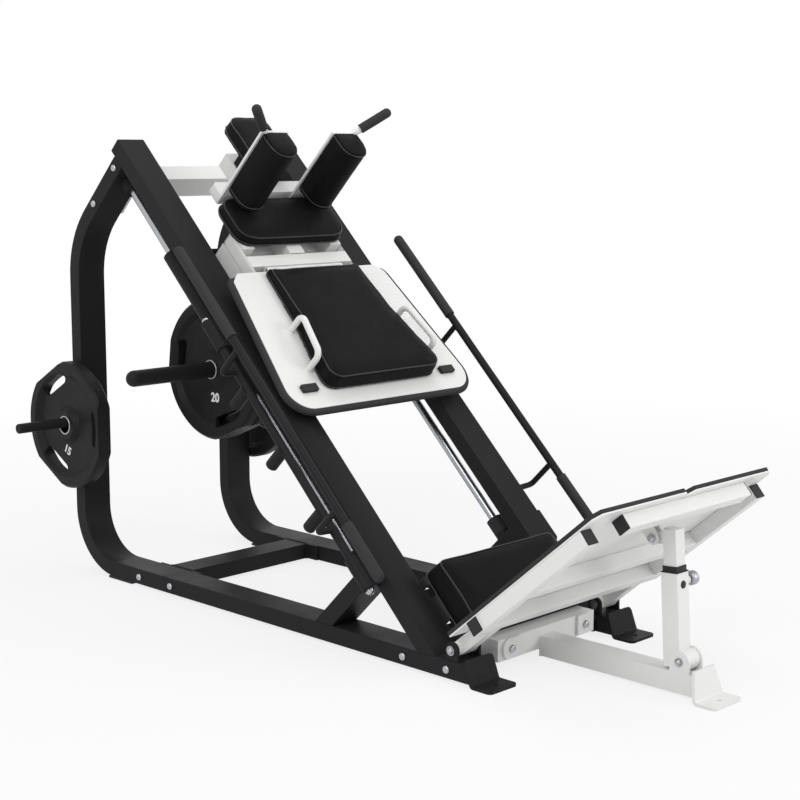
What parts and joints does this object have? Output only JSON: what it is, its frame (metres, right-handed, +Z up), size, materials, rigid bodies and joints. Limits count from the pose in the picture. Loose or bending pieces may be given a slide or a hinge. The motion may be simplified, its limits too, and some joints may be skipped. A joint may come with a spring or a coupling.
{
  "type": "leg press machine",
  "caption": "Plate-loaded leg press and hack squat machine: padded carriage on sloping guide rods, tilting footplate, safety levers and weight horns.",
  "frame": {"origin": "floor level, below the middle of the outline", "axes": "+X towards the footplate, +Z up, +Y to the right as seen from the footplate end"},
  "size_m": [2.4989, 1.17, 1.5136],
  "materials": {
    "black_coat": "satin powder coat",
    "white_coat": "satin powder coat",
    "chrome": "polished",
    "steel": "zinc plated",
    "vinyl": "satin upholstery vinyl",
    "rubber": "matte",
    "plastic": "moulded",
    "board": "plywood",
    "iron": "black enamel"
  },
  "bodies": {
    "frame": {"side_loop_left": "black_coat", "side_loop_right": "black_coat", "rail_left": "black_coat", "rail_right": "black_coat", "rail_braces": "black_coat", "rail_end_caps": "plastic", "top_cross_tube": "white_coat", "rear_cross_tube": "black_coat", "front_cross_tube": "black_coat", "guide_rods": "chrome", "rod_collars": "black_coat", "rod_buffers": "rubber", "front_feet": "black_coat", "rear_foot_pads": "rubber", "hinge_ears": "black_coat", "hinge_pins": "steel", "stop_shaft_bearings": "black_coat", "storage_horns": "black_coat", "floor_beam": "white_coat", "floor_beam_foot": "white_coat", "post_ears": "white_coat", "seat_pad": "vinyl", "seat_board": "board", "seat_bearers": "black_coat", "frame_bolts": "chrome"},
    "carriage": {"carriage_frame": "white_coat", "carriage_outriggers": "black_coat", "bearing_housings": "black_coat", "horn_hanger": "black_coat", "carriage_horn_bar": "black_coat", "plate_hinge_pin": "steel", "plate_rests": "rubber", "mid_pad": "vinyl", "shoulder_pads": "vinyl", "shoulder_brackets": "white_coat", "hand_grips": "rubber", "head_pad": "vinyl", "head_pad_bracket": "black_coat"},
    "press_plate_flap": {"press_plate": "white_coat", "press_mat": "rubber", "back_pad": "vinyl", "carry_handles": "white_coat", "plate_bumpers": "rubber"},
    "lever_left": {"safety_lever_left": "black_coat", "lever_grips_left": "rubber"},
    "lever_right": {"safety_lever_right": "black_coat", "lever_grips_right": "rubber"},
    "footplate_flap": {"footplate": "white_coat", "footplate_mat": "rubber", "footplate_tubes": "white_coat", "footplate_caps": "plastic", "footplate_arms": "white_coat"},
    "post_lower": {"post_outer": "white_coat", "post_collar": "plastic"},
    "post_upper": {"post_inner": "white_coat"},
    "post_pin": {"pop_pin": "plastic"},
    "stored_weight_left": {"storage_plate_left": "iron"},
    "stored_weight_right": {"storage_plate_right": "iron"},
    "loaded_weight_left": {"carriage_plate_left": "iron"},
    "loaded_weight_right": {"carriage_plate_right": "iron"}
  },
  "joints": [
    {"name": "carriage_slide", "type": "slide", "parent": "frame", "child": "carriage", "axis": [-0.7071, 0, 0.7071], "range_m": [-0.44, 0.24]},
    {"name": "plate_flip", "type": "hinge", "parent": "carriage", "child": "press_plate_flap", "pos_m": [-0.32227, 0, 1.02248], "axis": [0, -1, 0], "range_deg": [0, 85]},
    {"name": "lever_right_turn", "type": "hinge", "parent": "frame", "child": "lever_right", "pos_m": [-0.13771, 0.392, 0.70357], "axis": [-0.7071, 0, 0.7071], "range_deg": [0, 45]},
    {"name": "lever_left_turn", "type": "hinge", "parent": "frame", "child": "lever_left", "pos_m": [-0.13771, -0.392, 0.70357], "axis": [0.7071, 0, -0.7071], "range_deg": [0, 45]},
    {"name": "footplate_tilt", "type": "hinge", "parent": "frame", "child": "footplate_flap", "pos_m": [0.6235, 0, 0.086], "axis": [0, -1, 0], "range_deg": [-6, 6]},
    {"name": "post_swing", "type": "hinge", "parent": "frame", "child": "post_lower", "pos_m": [1.1165, 0, 0.092], "axis": [0, -1, 0], "range_deg": [-7, 7]},
    {"name": "post_slide", "type": "slide", "parent": "post_lower", "child": "post_upper", "axis": [-0.0628, 0, 0.998], "range_m": [-0.056, 0.056]},
    {"name": "pop_pin_pull", "type": "slide", "parent": "post_lower", "child": "post_pin", "axis": [0, 1, 0], "range_m": [0, 0.012], "stiffness_N_per_m": 1500, "springref_m": -0.003},
    {"name": "stored_weight_right_slide", "type": "slide", "parent": "frame", "child": "stored_weight_right", "axis": [0, 1, 0], "range_m": [0, 0.18]},
    {"name": "stored_weight_left_slide", "type": "slide", "parent": "frame", "child": "stored_weight_left", "axis": [0, -1, 0], "range_m": [0, 0.18]},
    {"name": "loaded_weight_right_slide", "type": "slide", "parent": "carriage", "child": "loaded_weight_right", "axis": [0, 1, 0], "range_m": [0, 0.29]},
    {"name": "loaded_weight_left_slide", "type": "slide", "parent": "carriage", "child": "loaded_weight_left", "axis": [0, -1, 0], "range_m": [0, 0.29]}
  ],
  "couplings": [
    {"joint": "post_swing", "follows": "footplate_tilt", "ratio": 0.9287},
    {"joint": "post_slide", "follows": "footplate_tilt", "m_per_rad": 0.486}
  ]
}
